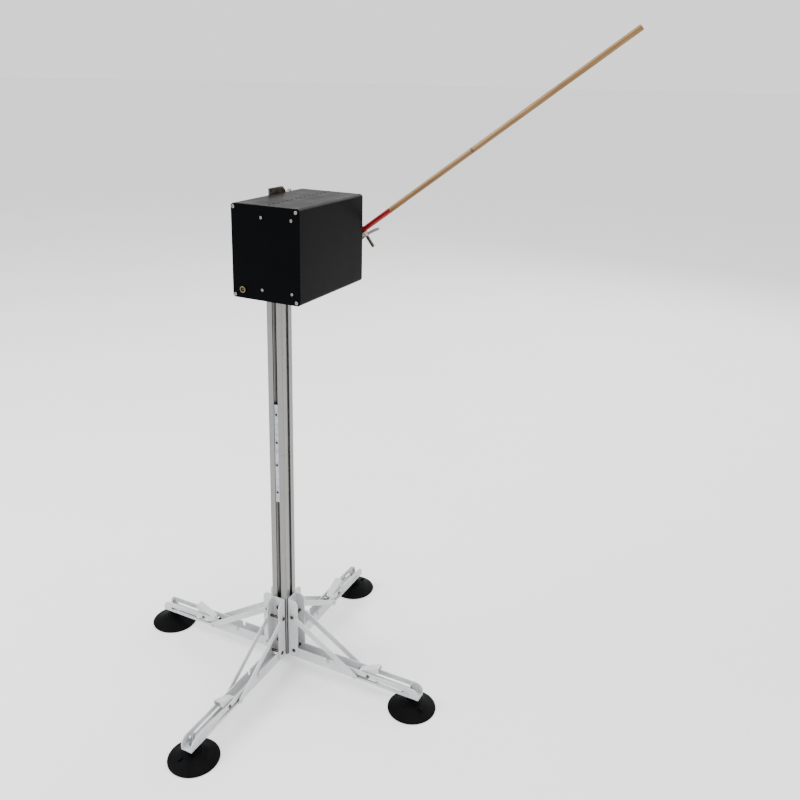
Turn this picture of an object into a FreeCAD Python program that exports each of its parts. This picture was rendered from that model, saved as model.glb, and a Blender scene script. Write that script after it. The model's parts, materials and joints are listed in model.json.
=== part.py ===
import FreeCAD, Part
import math
import os

# Stick-swinging ball pitching machine on a folding four-leg stand.
# Millimetres, +Z up.  The origin is on the floor, on the axis of the column.
# The front panel faces -Y and the stick turns in a plane behind the back panel, about an axis along Y.

V = FreeCAD.Vector
X_AXIS = V(1, 0, 0)
Y_AXIS = V(0, 1, 0)
Z_AXIS = V(0, 0, 1)

# ---- column: two lengths of 30 mm T-slot profile ----
PROFILE = 30.0
SLOT_HALF = 4.1
SLOT_LIP = 2.2
SLOT_CAVITY_HALF = 8.25
SLOT_SHOULDER = 5.0
SLOT_FLOOR_HALF = 4.2
SLOT_DEPTH = 9.0
CORE_BORE = 6.8
COLUMN_BOTTOM = 28.0
COLUMN_SEAM = 422.0
SEAM_GAP = 0.3
FACE = PROFILE / 2

# ---- joint strips in the front and rear slots ----
STRIP_LENGTH = 180.0
STRIP_SCREW_OFFSETS = (-72.0, -21.0, 21.0, 72.0)
STRIP_FRONT = 0.9
STRIP_BACK = 4.9

# ---- motor housing: rounded square tube along Y, closed by two panels ----
HOUSING_WIDTH = 128.0
HOUSING_HEIGHT = 154.0
HOUSING_BOTTOM = 697.0
HOUSING_FRONT = -35.0
HOUSING_LENGTH = 200.0
HOUSING_WALL = 2.0
HOUSING_RADIUS = 5.0
PANEL_THICKNESS = 1.5
PANEL_REVEAL = 0.4
CORNER_SCREW_INSET = 5.5
CORNER_BOSS_RADIUS = 3.8
VENT_COUNT = 15
VENT_PITCH = 13.0
VENT_DIAMETER = 4.5
VENT_FIRST_Y = -23.0
HOUSING_TOP = HOUSING_BOTTOM + HOUSING_HEIGHT
HOUSING_BACK = HOUSING_FRONT + HOUSING_LENGTH
HOUSING_MID = HOUSING_BOTTOM + HOUSING_HEIGHT / 2
PANEL_FRONT_FACE = HOUSING_FRONT - PANEL_THICKNESS
PANEL_BACK_FACE = HOUSING_BACK + PANEL_THICKNESS

# ---- control board on the front panel ----
BOARD_SCREW_X = (-6.0, 50.0)
BOARD_SCREW_Z = (715.5, 832.0)
BOARD_MARGIN = 6.0
BOARD_THICKNESS = 1.6
STANDOFF_LENGTH = 10.0
INLET_X = -43.3
INLET_Z = 712.0
INLET_BORE = 5.6

# ---- drive ----
SHAFT_Z = 745.5
SHAFT_DIAMETER = 10.0
GEARBOX_SIDE = 56.0
GEARBOX_LENGTH = 46.0
GEARBOX_FACE = HOUSING_BACK - 2.0
MOTOR_DIAMETER = 50.0
MOTOR_LENGTH = 84.0
MOTOR_SCREW_PITCH = 44.0
SHAFT_END = 186.0

# ---- stick ----
STICK_ANGLE = 37.0
STICK_Y = 198.0
STICK_DIAMETER = 10.0
STICK_START = 6.0
STICK_END = 635.0
SOCKET_END = 54.0
SOCKET_RADIUS = 8.0
CLAMP_AT = 60.0
CLAMP_BOLT = 6.0
CLAMP_TAIL = 36.0
CLAMP_STRAP = 2.4
WING_REACH = 30.0
WING_GAP = 0.4

# ---- side bracket ----
BRACKET_BOLT_Z = 846.0

# ---- folding legs, in a leg's own frame: +X outwards, Y across, Z up ----
LEG_NAMES = {"right": 0.0, "rear": 90.0, "left": 180.0, "front": 270.0}
RAIL_WIDTH = 26.0
RAIL_DEPTH = 21.0
RAIL_SHEET = 2.0
RAIL_BEND = 3.6
RAIL_TOP = 142.0
RAIL_SCREW_Z = (57.0, 123.0)
ARM_WIDTH = 21.0
ARM_SHEET = 2.0
ARM_BOTTOM = 25.0
ARM_TOP = 44.2
NOTCH_DEPTH = 6.0
ARM_END = 275.0
ARM_END_RADIUS = 12.0
FOLD_ANGLE = 87.5
PIVOT_A = (28.0, 40.0)
PIVOT_B = (26.5, 110.0)
LATCH_P = (154.0, 32.7)
LEVER_L = (178.6, 39.0)
PIN_DIAMETER = 5.0
PIN_HEAD = 7.2
PIN_DIMPLE = 3.0
SLOT_END = 258.0
SLIDE_SLOT_WIDTH = 5.6
LINK_WIDTH = 10.0
LINK_SHEET = 1.8
LINK_INSIDE = 13.3
LEVER_HALF = 7.0
LEVER_SHEET = 1.4
LEVER_TIP = (197.0, 58.0)
LEVER_HEEL = (157.0, 40.6)
CUP_AT = 259.0
CUP_RADIUS = 41.5
STUD_DIAMETER = 6.0
STUD_TOP = 48.0


def box(x0, x1, y0, y1, z0, z1):
    """A block between two corners."""
    return Part.makeBox(x1 - x0, y1 - y0, z1 - z0, V(x0, y0, z0))


def rod(diameter, start, axis, length):
    """A round bar from start along axis."""
    return Part.makeCylinder(diameter / 2, length, V(*start), axis)


def hexagon(across_flats, start, axis, length):
    """A hexagonal prism from start along axis."""
    radius = across_flats / math.sqrt(3)
    points = []
    for i in range(7):
        turn = math.radians(60 * i)
        points.append(V(radius * math.cos(turn), radius * math.sin(turn), 0))
    prism = Part.Face(Part.makePolygon(points)).extrude(V(0, 0, length))
    prism.Placement = FreeCAD.Placement(V(*start), FreeCAD.Rotation(Z_AXIS, axis))
    return prism


def plate_xz(points, y0, thickness):
    """A flat plate whose outline is drawn in the XZ plane."""
    outline = [V(x, y0, z) for x, z in points]
    return Part.Face(Part.makePolygon(outline + outline[:1])).extrude(V(0, thickness, 0))


def slot_xz(x0, x1, z, width, y0, thickness):
    """A round-ended bar along X: the cutter of a slot, or a link."""
    r = width / 2
    bar = box(x0, x1, y0, y0 + thickness, z - r, z + r)
    for x in (x0, x1):
        bar = bar.fuse(rod(width, (x, y0, z), Y_AXIS, thickness))
    return bar.removeSplitter()


def rounded_tube(width, height, radius, y0, length):
    """A rounded rectangle centred on the housing's axis, extruded along Y."""
    block = box(-width / 2, width / 2, y0, y0 + length, HOUSING_MID - height / 2, HOUSING_MID + height / 2)
    edges = [e for e in block.Edges if abs(abs(e.tangentAt(e.FirstParameter).y) - 1) < 1e-6]
    return block.makeFillet(radius, edges)


def pan_head(diameter, height, start, axis):
    """A domed screw head with a cross recess, standing on start along axis."""
    head = rod(diameter, start, axis, height)
    rim = [e for e in head.Edges if e.Length > 1 and e.Curve.TypeId == "Part::GeomCircle"]
    far = [e for e in rim if (e.Curve.Center - V(*start)).dot(axis) > height / 2]
    head = head.makeFillet(height * 0.45, far)
    arm = diameter * 0.3
    cut = Part.makeBox(2 * arm, 0.7, height, V(-arm, -0.35, height * 0.45))
    cut = cut.fuse(Part.makeBox(0.7, 2 * arm, height, V(-0.35, -arm, height * 0.45)))
    cut.Placement = FreeCAD.Placement(V(*start), FreeCAD.Rotation(Z_AXIS, axis))
    return head.cut(cut)


def arc_tube(points, diameter, bend):
    """A round lead along straight runs joined by tangent arcs of the given radius."""
    corners = [V(*p) for p in points]
    edges = []
    last = corners[0]
    for i in range(1, len(corners) - 1):
        into = (corners[i] - corners[i - 1]).normalize()
        out = (corners[i + 1] - corners[i]).normalize()
        half = into.getAngle(out) / 2
        back = bend * math.tan(half)
        first = corners[i] - into * back
        second = corners[i] + out * back
        bisector = (out - into).normalize()
        centre = corners[i] + bisector * (bend / math.cos(half))
        middle = centre - bisector * bend
        edges.append(Part.LineSegment(last, first).toShape())
        edges.append(Part.Arc(first, middle, second).toShape())
        last = second
    edges.append(Part.LineSegment(last, corners[-1]).toShape())
    path = Part.Wire(edges)
    heading = (corners[1] - corners[0]).normalize()
    ring = Part.Wire(Part.makeCircle(diameter / 2, corners[0], heading))
    return path.makePipeShell([ring], True, True)


def round_edges(shape, test):
    """The circular edges whose centre passes a test."""
    circles = [e for e in shape.Edges if e.Curve.TypeId == "Part::GeomCircle"]
    return [e for e in circles if test(e.Curve.Center)]


def save(name, *solids):
    """Write one node, as one solid or a group of separate solids."""
    shape = solids[0] if len(solids) == 1 else Part.makeCompound(list(solids))
    shape.exportStep("parts/%s.step" % name)


# ---------------------------------------------------------------- column


def slot_cutter(z0, z1):
    """The T-shaped slot of the +X face, over a length of column."""
    d = FACE
    half = [(d + 1, SLOT_HALF), (d - SLOT_LIP, SLOT_HALF), (d - SLOT_LIP, SLOT_CAVITY_HALF),
            (d - SLOT_SHOULDER, SLOT_CAVITY_HALF), (d - SLOT_DEPTH, SLOT_FLOOR_HALF)]
    outline = half + [(x, -y) for x, y in reversed(half)]
    points = [V(x, y, z0) for x, y in outline]
    return Part.Face(Part.makePolygon(points + points[:1])).extrude(V(0, 0, z1 - z0))


def column(z0, z1):
    """A length of T-slot profile with a tapped core bore."""
    bar = box(-FACE, FACE, -FACE, FACE, z0, z1)
    corners = [e for e in bar.Edges if abs(abs(e.tangentAt(e.FirstParameter).z) - 1) < 1e-6]
    bar = bar.makeFillet(1.5, corners)
    cutter = slot_cutter(z0 - 1, z1 + 1)
    for turn in range(4):
        side = cutter.copy()
        side.rotate(V(0, 0, 0), Z_AXIS, 90 * turn)
        bar = bar.cut(side)
    return bar.cut(rod(CORE_BORE, (0, 0, z0 - 1), Z_AXIS, z1 - z0 + 2))


def make_column():
    save("lower_column", column(COLUMN_BOTTOM, COLUMN_SEAM))
    save("upper_column", column(COLUMN_SEAM + SEAM_GAP, HOUSING_BOTTOM))
    strips = []
    screws = []
    z0 = COLUMN_SEAM - STRIP_LENGTH / 2
    for side in (-1, 1):
        lip = sorted((side * (FACE - STRIP_FRONT), side * (FACE - SLOT_LIP - 0.2)))
        body = sorted((side * (FACE - SLOT_LIP - 0.2), side * (FACE - STRIP_BACK)))
        strip = box(-3.7, 3.7, lip[0], lip[1], z0, z0 + STRIP_LENGTH)
        strip = strip.fuse(box(-7.6, 7.6, body[0], body[1], z0, z0 + STRIP_LENGTH)).removeSplitter()
        for offset in STRIP_SCREW_OFFSETS:
            at = (0, side * (FACE - STRIP_FRONT), COLUMN_SEAM + offset)
            inward = V(0, -side, 0)
            strip = strip.cut(rod(5.0, at, inward, 6))
            start = (0, side * (FACE - STRIP_FRONT - 0.6), at[2])
            screw = rod(5.0, start, inward, SLOT_DEPTH - STRIP_FRONT - 0.6)
            screws.append(screw.cut(hexagon(2.5, start, inward, 2.5)))
        strips.append(strip)
    save("joint_strips", *strips)
    save("joint_set_screws", *screws)
    plate_z = HOUSING_BOTTOM + HOUSING_WALL
    plate = box(-30, 30, -30, 30, plate_z, plate_z + 4).cut(rod(8.4, (0, 0, plate_z - 1), Z_AXIS, 6))
    save("column_top_plate", plate)
    bolt = rod(CORE_BORE, (0, 0, HOUSING_BOTTOM - 32), Z_AXIS, 36 + HOUSING_WALL)
    bolt = bolt.fuse(rod(16, (0, 0, plate_z + 4), Z_AXIS, 1.5))
    head = rod(13, (0, 0, plate_z + 5.5), Z_AXIS, 8).cut(hexagon(6, (0, 0, plate_z + 9), Z_AXIS, 6))
    save("column_top_bolt", bolt.fuse(head).removeSplitter())


# ---------------------------------------------------------------- housing


def corner_positions():
    x = HOUSING_WIDTH / 2 - CORNER_SCREW_INSET
    z = HOUSING_HEIGHT / 2 - CORNER_SCREW_INSET
    return [(sx * x, HOUSING_MID + sz * z) for sx in (-1, 1) for sz in (-1, 1)]


def make_housing():
    shell = rounded_tube(HOUSING_WIDTH, HOUSING_HEIGHT, HOUSING_RADIUS, HOUSING_FRONT, HOUSING_LENGTH)
    inner_w = HOUSING_WIDTH - 2 * HOUSING_WALL
    inner_h = HOUSING_HEIGHT - 2 * HOUSING_WALL
    inner_r = HOUSING_RADIUS - HOUSING_WALL
    shell = shell.cut(rounded_tube(inner_w, inner_h, inner_r, HOUSING_FRONT - 1, HOUSING_LENGTH + 2))
    for x, z in corner_positions():
        shell = shell.fuse(rod(2 * CORNER_BOSS_RADIUS, (x, HOUSING_FRONT, z), Y_AXIS, HOUSING_LENGTH))
    for x, z in corner_positions():
        shell = shell.cut(rod(2.6, (x, HOUSING_FRONT - 1, z), Y_AXIS, HOUSING_LENGTH + 2))
    for i in range(VENT_COUNT):
        y = VENT_FIRST_Y + i * VENT_PITCH
        under = (0, y, HOUSING_TOP - HOUSING_WALL - 1)
        shell = shell.cut(rod(VENT_DIAMETER, under, Z_AXIS, HOUSING_WALL + 2))
    shell = shell.cut(rod(8.4, (0, 0, HOUSING_BOTTOM - 1), Z_AXIS, 4))
    for y, z in bracket_screw_positions():
        shell = shell.cut(rod(4.0, (-HOUSING_WIDTH / 2 - 1, y, z), X_AXIS, HOUSING_WALL + 2))
    save("housing_shell", shell.removeSplitter())

    width = HOUSING_WIDTH - 2 * PANEL_REVEAL
    height = HOUSING_HEIGHT - 2 * PANEL_REVEAL
    front = rounded_tube(width, height, HOUSING_RADIUS, PANEL_FRONT_FACE, PANEL_THICKNESS)
    back = rounded_tube(width, height, HOUSING_RADIUS, HOUSING_BACK, PANEL_THICKNESS)
    for x, z in corner_positions():
        front = front.cut(rod(3.2, (x, PANEL_FRONT_FACE - 1, z), Y_AXIS, 4))
        back = back.cut(rod(3.2, (x, HOUSING_BACK - 1, z), Y_AXIS, 4))
    for x in BOARD_SCREW_X:
        for z in BOARD_SCREW_Z:
            front = front.cut(rod(3.2, (x, PANEL_FRONT_FACE - 1, z), Y_AXIS, 4))
    front = front.cut(rod(8.0, (INLET_X, PANEL_FRONT_FACE - 1, INLET_Z), Y_AXIS, 4))
    back = back.cut(rod(22.0, (0, HOUSING_BACK - 1, SHAFT_Z), Y_AXIS, 4))
    for x, z in motor_screw_positions():
        back = back.cut(rod(4.2, (x, HOUSING_BACK - 1, z), Y_AXIS, 4))
    save("front_panel", front)
    save("back_panel", back)

    screws = []
    for x, z in corner_positions():
        for face, out in ((PANEL_FRONT_FACE, -1), (PANEL_BACK_FACE, 1)):
            head = pan_head(5.6, 1.9, (x, face, z), V(0, out, 0))
            screws.append(head.fuse(rod(2.6, (x, face, z), V(0, -out, 0), 9)))
    save("panel_screws", *(screws + board_screws()))


# ---------------------------------------------------------------- control board and power inlet


def board_screws():
    """Small pan-head screws into both ends of each standoff."""
    screws = []
    board_face = HOUSING_FRONT + STANDOFF_LENGTH + BOARD_THICKNESS
    for x in BOARD_SCREW_X:
        for z in BOARD_SCREW_Z:
            outer = pan_head(4.7, 1.6, (x, PANEL_FRONT_FACE, z), V(0, -1, 0))
            screws.append(outer.fuse(rod(2.6, (x, PANEL_FRONT_FACE, z), Y_AXIS, 5.5)))
            inner = pan_head(5.0, 1.6, (x, board_face, z), Y_AXIS)
            screws.append(inner.fuse(rod(2.6, (x, board_face, z), V(0, -1, 0), 5)))
    return screws


def make_board():
    standoffs = []
    y0 = HOUSING_FRONT
    y1 = HOUSING_FRONT + STANDOFF_LENGTH
    board = box(BOARD_SCREW_X[0] - BOARD_MARGIN, BOARD_SCREW_X[1] + BOARD_MARGIN, y1, y1 + BOARD_THICKNESS,
                BOARD_SCREW_Z[0] - BOARD_MARGIN, BOARD_SCREW_Z[1] + BOARD_MARGIN)
    for x in BOARD_SCREW_X:
        for z in BOARD_SCREW_Z:
            post = hexagon(5.5, (x, y0, z), Y_AXIS, STANDOFF_LENGTH)
            standoffs.append(post.cut(rod(2.6, (x, y0 - 1, z), Y_AXIS, STANDOFF_LENGTH + 2)))
            board = board.cut(rod(3.2, (x, y1 - 1, z), Y_AXIS, 4))
    top = y1 + BOARD_THICKNESS
    sink = box(4, 40, top, top + 3, 755, 800)
    for i in range(7):
        sink = sink.fuse(box(4 + 5.4 * i, 6 + 5.4 * i, top + 3, top + 14, 755, 800))
    capacitors = [rod(13, (x, top, 812), Y_AXIS, 18) for x in (10, 28)]
    terminals = [box(x, x + 20, top, top + 11, 722, 733) for x in (-4, 26)]
    save("board_standoffs", *standoffs)
    save("control_board", board, sink.removeSplitter(), *(capacitors + terminals))

    face = PANEL_FRONT_FACE
    inlet = rod(10.5, (INLET_X, face - 2.6, INLET_Z), Y_AXIS, 2.6)
    inlet = inlet.fuse(rod(8.0, (INLET_X, face, INLET_Z), Y_AXIS, 16))
    inlet = inlet.cut(rod(INLET_BORE, (INLET_X, face - 3, INLET_Z), Y_AXIS, 12))
    inlet = inlet.fuse(rod(2.0, (INLET_X, face - 1.6, INLET_Z), Y_AXIS, 12))
    nut = hexagon(12, (INLET_X, HOUSING_FRONT, INLET_Z), Y_AXIS, 2.5)
    save("power_inlet", inlet, nut.cut(rod(8.0, (INLET_X, HOUSING_FRONT - 1, INLET_Z), Y_AXIS, 5)))


# ---------------------------------------------------------------- drive


def motor_screw_positions():
    half = MOTOR_SCREW_PITCH / 2
    return [(sx * half, SHAFT_Z + sz * half) for sx in (-1, 1) for sz in (-1, 1)]


def make_drive():
    half = GEARBOX_SIDE / 2
    gear_front = GEARBOX_FACE - GEARBOX_LENGTH
    case = box(-half, half, gear_front, GEARBOX_FACE, SHAFT_Z - half, SHAFT_Z + half)
    edges = [e for e in case.Edges if abs(abs(e.tangentAt(e.FirstParameter).y) - 1) < 1e-6]
    case = case.makeFillet(4, edges)
    case = case.cut(rod(SHAFT_DIAMETER + 0.2, (0, gear_front + 4, SHAFT_Z), Y_AXIS, GEARBOX_LENGTH))
    spacers = []
    screws = []
    for x, z in motor_screw_positions():
        spacer = rod(9, (x, GEARBOX_FACE, z), Y_AXIS, 2)
        spacers.append(spacer.cut(rod(4.2, (x, GEARBOX_FACE - 1, z), Y_AXIS, 4)))
        case = case.cut(rod(4.0, (x, GEARBOX_FACE - 12, z), Y_AXIS, 13))
        screw = pan_head(7.0, 2.2, (x, PANEL_BACK_FACE, z), Y_AXIS)
        screws.append(screw.fuse(rod(4.0, (x, PANEL_BACK_FACE, z), V(0, -1, 0), 14)))
    save("gearbox", case)
    save("gearbox_screws", *(screws + spacers))
    can = rod(MOTOR_DIAMETER, (0, gear_front - MOTOR_LENGTH, SHAFT_Z), Y_AXIS, MOTOR_LENGTH)
    can = can.fuse(rod(18, (0, gear_front - MOTOR_LENGTH - 5, SHAFT_Z), Y_AXIS, 5))
    save("drive_motor", can)
    bush = rod(22, (0, GEARBOX_FACE, SHAFT_Z), Y_AXIS, PANEL_BACK_FACE - GEARBOX_FACE)
    bush = bush.fuse(rod(27, (0, PANEL_BACK_FACE, SHAFT_Z), Y_AXIS, 1.5))
    save("shaft_bush", bush.cut(rod(SHAFT_DIAMETER + 0.1, (0, GEARBOX_FACE - 1, SHAFT_Z), Y_AXIS, 9)))
    lead_a = arc_tube([(INLET_X, PANEL_FRONT_FACE + 16, INLET_Z), (INLET_X, 0, INLET_Z), (-24, 8, 712),
                       (-10, -4, 720), (-4, -10, 727)], 3.0, 5.0)
    route = [(47.2, -17, 727), (56, -10, 727), (56, 14, 727), (48, 24, 733), (27.6, 50, 745)]
    lead_b = arc_tube(route, 3.0, 5.0)
    save("inner_leads", lead_a, lead_b)


def turn_to_stick(shape):
    """Carry a shape drawn with the stick along +X at SHAFT_Z to its angle."""
    shape.rotate(V(0, 0, SHAFT_Z), Y_AXIS, -STICK_ANGLE)
    return shape


def make_stick():
    flat = box(SHAFT_DIAMETER / 2 - 0.8, SHAFT_DIAMETER, 173, SHAFT_END + 1, SHAFT_Z - 6, SHAFT_Z + 6)
    shaft = rod(SHAFT_DIAMETER, (0, GEARBOX_FACE - GEARBOX_LENGTH + 8, SHAFT_Z), Y_AXIS,
                SHAFT_END - GEARBOX_FACE + GEARBOX_LENGTH - 8)
    save("output_shaft", turn_to_stick(shaft.cut(flat)))

    z = SHAFT_Z
    hub = rod(30, (0, 171, z), Y_AXIS, SHAFT_END - 171)
    hub = hub.fuse(box(-13, 20, SHAFT_END, STICK_Y, z - SOCKET_RADIUS, z + SOCKET_RADIUS))
    hub = hub.fuse(rod(2 * SOCKET_RADIUS, (-13, STICK_Y, z), X_AXIS, SOCKET_END + 13))
    strap_z = z + STICK_DIAMETER / 2
    hub = hub.fuse(box(SOCKET_END - 8, CLAMP_AT + 5.5, STICK_Y - 4.5, STICK_Y + 4.5,
                       strap_z, strap_z + CLAMP_STRAP))
    hub = hub.cut(rod(STICK_DIAMETER, (STICK_START, STICK_Y, z), X_AXIS, STICK_END))
    hub = hub.cut(rod(CLAMP_BOLT, (CLAMP_AT, STICK_Y, z), Z_AXIS, 20))
    bore = rod(SHAFT_DIAMETER, (0, 170, z), Y_AXIS, SHAFT_END - 170)
    hub = hub.cut(bore.cut(flat))
    hub = hub.cut(rod(4.0, (4, 178, z), X_AXIS, 14))
    save("stick_hub", turn_to_stick(hub.removeSplitter()))
    grub = rod(4.0, (SHAFT_DIAMETER / 2 - 0.8, 178, z), X_AXIS, 9)
    socket = hexagon(2.0, (SHAFT_DIAMETER / 2 + 6, 178, z), X_AXIS, 4)
    save("hub_grub_screw", turn_to_stick(grub.cut(socket)))

    stick = rod(STICK_DIAMETER, (STICK_START, STICK_Y, z), X_AXIS, STICK_END - STICK_START)
    stick = stick.makeFillet(1.6, round_edges(stick, lambda c: c.x > STICK_END - 1))
    stick = stick.cut(rod(CLAMP_BOLT, (CLAMP_AT, STICK_Y, z - 20), Z_AXIS, 40))
    save("stick", turn_to_stick(stick))

    seat = strap_z + CLAMP_STRAP
    bolt = rod(CLAMP_BOLT, (CLAMP_AT, STICK_Y, z - CLAMP_TAIL), Z_AXIS, CLAMP_TAIL + seat - z)
    end = round_edges(bolt, lambda c: c.z < z - CLAMP_TAIL + 1)
    head = rod(10.0, (CLAMP_AT, STICK_Y, seat), Z_AXIS, 3.2)
    head = head.makeFillet(1.6, round_edges(head, lambda c: c.z > seat + 1))
    save("clamp_bolt", turn_to_stick(bolt.makeChamfer(0.8, end).fuse(head)))

    top = z - STICK_DIAMETER / 2 - WING_GAP
    nut = Part.makeCone(4.4, 6.0, 8.0, V(CLAMP_AT, STICK_Y, top - 8.0), Z_AXIS)
    for side in (-1, 1):
        ear = [(3, -3.1), (12, -3.3), (20, -4.4), (26, -6.0), (WING_REACH, -8.4), (29.4, -10.6),
               (27, -11.4), (20, -10.0), (11, -8.2), (3, -7.4)]
        outline = [(CLAMP_AT + side * s, top + d) for s, d in ear]
        nut = nut.fuse(plate_xz(outline, STICK_Y - 1.2, 2.4))
    nut = nut.cut(rod(CLAMP_BOLT + 0.1, (CLAMP_AT, STICK_Y, top - 20), Z_AXIS, 30))
    save("wing_nut", turn_to_stick(nut.removeSplitter()))


# ---------------------------------------------------------------- side bracket


def bracket_screw_positions():
    return [(y, 830.0) for y in (82.0, 106.0)]


def make_side_bracket():
    wall = -HOUSING_WIDTH / 2
    outline = [V(wall, y, z) for y, z in ((72, 820), (120, 820), (120, 853), (111, 861), (72, 861))]
    bracket = Part.Face(Part.makePolygon(outline + outline[:1])).extrude(V(-3, 0, 0))
    bracket = bracket.fuse(box(wall - 20, wall, 117, 120, 834, 853)).removeSplitter()
    bracket = bracket.cut(rod(6.2, (wall - 11, 116, BRACKET_BOLT_Z), Y_AXIS, 5))
    screws = []
    for y, z in bracket_screw_positions():
        bracket = bracket.cut(rod(4.2, (wall - 4, y, z), X_AXIS, 5))
        head = pan_head(7.5, 2.2, (wall - 3, y, z), V(-1, 0, 0))
        screws.append(head.fuse(rod(4.0, (wall - 3, y, z), X_AXIS, 8)))
    save("side_bracket", bracket)
    bolt = rod(6.0, (wall - 11, 104, BRACKET_BOLT_Z), Y_AXIS, 56)
    nuts = []
    for y in (112.0, 120.0, 148.0):
        nut = hexagon(10, (wall - 11, y, BRACKET_BOLT_Z), Y_AXIS, 5)
        nuts.append(nut.cut(rod(6.0, (wall - 11, y - 1, BRACKET_BOLT_Z), Y_AXIS, 7)))
    save("bracket_bolts", bolt, *(nuts + screws))


# ---------------------------------------------------------------- folding legs


def upright_edges(shape, r):
    """The upright edges of a box that stand at distance r from the column's axis."""
    return [e for e in shape.Edges if abs(e.CenterOfMass.x - r) < 0.01 and abs(e.CenterOfMass.y) > 1
            and e.Length > RAIL_TOP - COLUMN_BOTTOM - 1]


def leg_rail():
    """The U-shaped rail that is screwed to a face of the column."""
    half = RAIL_WIDTH / 2
    outline = box(FACE, FACE + RAIL_DEPTH, -half, half, COLUMN_BOTTOM, RAIL_TOP)
    inner = half - RAIL_SHEET
    outline = outline.makeFillet(RAIL_BEND, upright_edges(outline, FACE))
    hollow = box(FACE + RAIL_SHEET, FACE + RAIL_DEPTH + 1, -inner, inner, 0, RAIL_TOP + 1)
    hollow = hollow.makeFillet(RAIL_BEND - RAIL_SHEET, upright_edges(hollow, FACE + RAIL_SHEET))
    rail = outline.cut(hollow)
    for z, radius in ((RAIL_TOP, 9.0), (COLUMN_BOTTOM, 7.0)):
        corners = [e for e in rail.Edges if abs(e.CenterOfMass.z - z) < 0.1
                   and e.CenterOfMass.x > FACE + RAIL_DEPTH - 0.1]
        rail = rail.makeFillet(radius, corners)
    for r, z in (PIVOT_A, PIVOT_B):
        rail = rail.cut(rod(PIN_DIAMETER, (r, -half - 1, z), Y_AXIS, RAIL_WIDTH + 2))
    for z in RAIL_SCREW_Z:
        rail = rail.cut(rod(6.0, (FACE - 1, 0, z), X_AXIS, 5))
    return rail


def rail_fixings():
    """Button-head screws with their slot nuts."""
    solids = []
    for z in RAIL_SCREW_Z:
        seat = FACE + RAIL_SHEET
        screw = pan_head(9.0, 2.6, (seat, 0, z), X_AXIS).fuse(rod(5.0, (seat, 0, z), V(-1, 0, 0), 9))
        nut = box(FACE - 6.0, FACE - SLOT_LIP, -7.0, 7.0, z - 5, z + 5)
        nut = nut.cut(rod(5.0, (FACE - 8, 0, z), X_AXIS, 12))
        solids += [screw, nut]
    return solids


def rail_pins():
    """The lower pin, on which the arm turns, and the upper one, on which the links turn."""
    pins = []
    for (r, z), out in ((PIVOT_A, RAIL_WIDTH / 2), (PIVOT_B, LINK_INSIDE + LINK_SHEET + 0.3)):
        pin = rod(PIN_DIAMETER, (r, -out, z), Y_AXIS, 2 * out)
        for side in (-1, 1):
            head = rod(PIN_HEAD, (r, side * out, z), V(0, side, 0), 1.3)
            rim = round_edges(head, lambda c: abs(c.y) > out + 1)
            pin = pin.fuse(head.makeFillet(0.6, rim))
            pin = pin.cut(rod(PIN_DIMPLE, (r, side * (out + 0.4), z), V(0, side, 0), 2))
        pins.append(pin)
    return pins


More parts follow.
